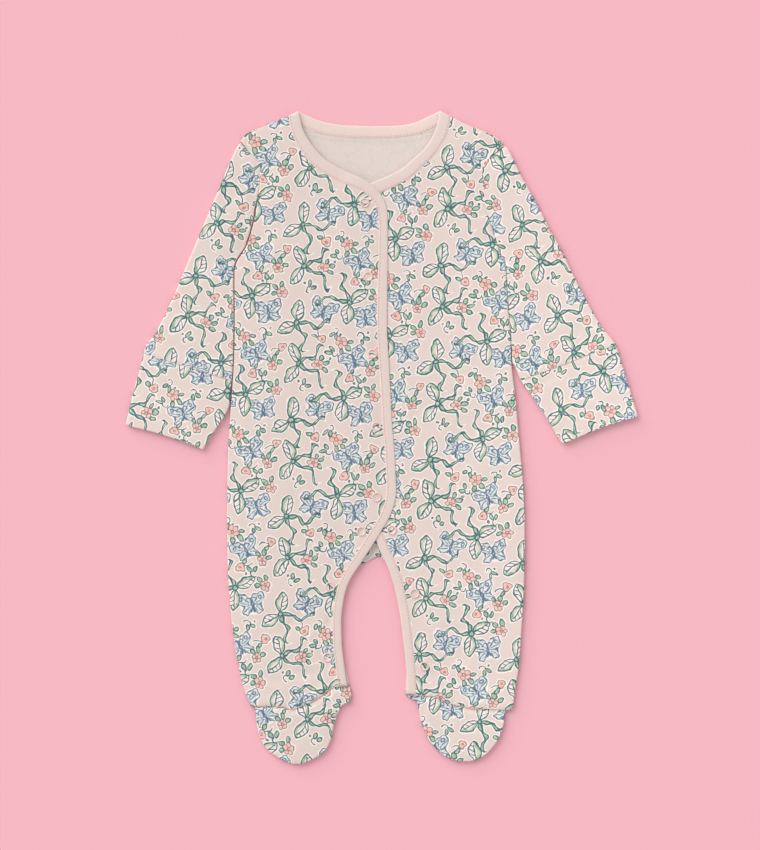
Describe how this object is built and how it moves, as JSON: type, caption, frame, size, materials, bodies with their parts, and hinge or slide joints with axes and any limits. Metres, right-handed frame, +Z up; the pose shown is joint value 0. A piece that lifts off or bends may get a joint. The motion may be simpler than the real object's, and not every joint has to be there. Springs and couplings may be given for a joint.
{
  "type": "footed baby sleepsuit",
  "caption": "Long-sleeved footed baby sleepsuit with mitten cuffs, a crossed neck and ring snaps down the front and inner legs, laid flat on its back.",
  "frame": {"origin": "centre of the bounding box, on the surface that the sleepsuit lies on", "axes": "+Y from the feet to the neck, +Z up from the surface through the back to the front, +X to the wearer's left"},
  "size_m": [0.4606, 0.5877, 0.0072],
  "materials": {
    "printed_jersey": "soft cotton jersey, pale cream pink ground with a print",
    "plain_jersey": "soft cotton jersey, plain pale pink",
    "snap_paint": "satin pale pink paint"
  },
  "bodies": {
    "root": {"front_right": "printed_jersey", "front_left": "printed_jersey", "back_panel": "printed_jersey", "sleeve_right": "printed_jersey", "sleeve_left": "printed_jersey", "cuff_right": "printed_jersey", "cuff_left": "printed_jersey", "foot_upper_right": "printed_jersey", "foot_upper_left": "printed_jersey", "foot_sole_right": "printed_jersey", "foot_sole_left": "printed_jersey", "binding_front_right": "plain_jersey", "binding_front_left": "plain_jersey", "binding_back_neck": "plain_jersey", "binding_back_leg_right": "plain_jersey", "binding_back_leg_left": "plain_jersey", "snap_front_1": "snap_paint", "snap_front_2": "snap_paint", "snap_front_3": "snap_paint", "snap_front_4": "snap_paint", "snap_front_5": "snap_paint", "snap_leg_right_1": "snap_paint", "snap_leg_right_2": "snap_paint", "snap_leg_right_3": "snap_paint", "snap_leg_left_1": "snap_paint", "snap_leg_left_2": "snap_paint", "snap_leg_left_3": "snap_paint"}
  },
  "joints": []
}
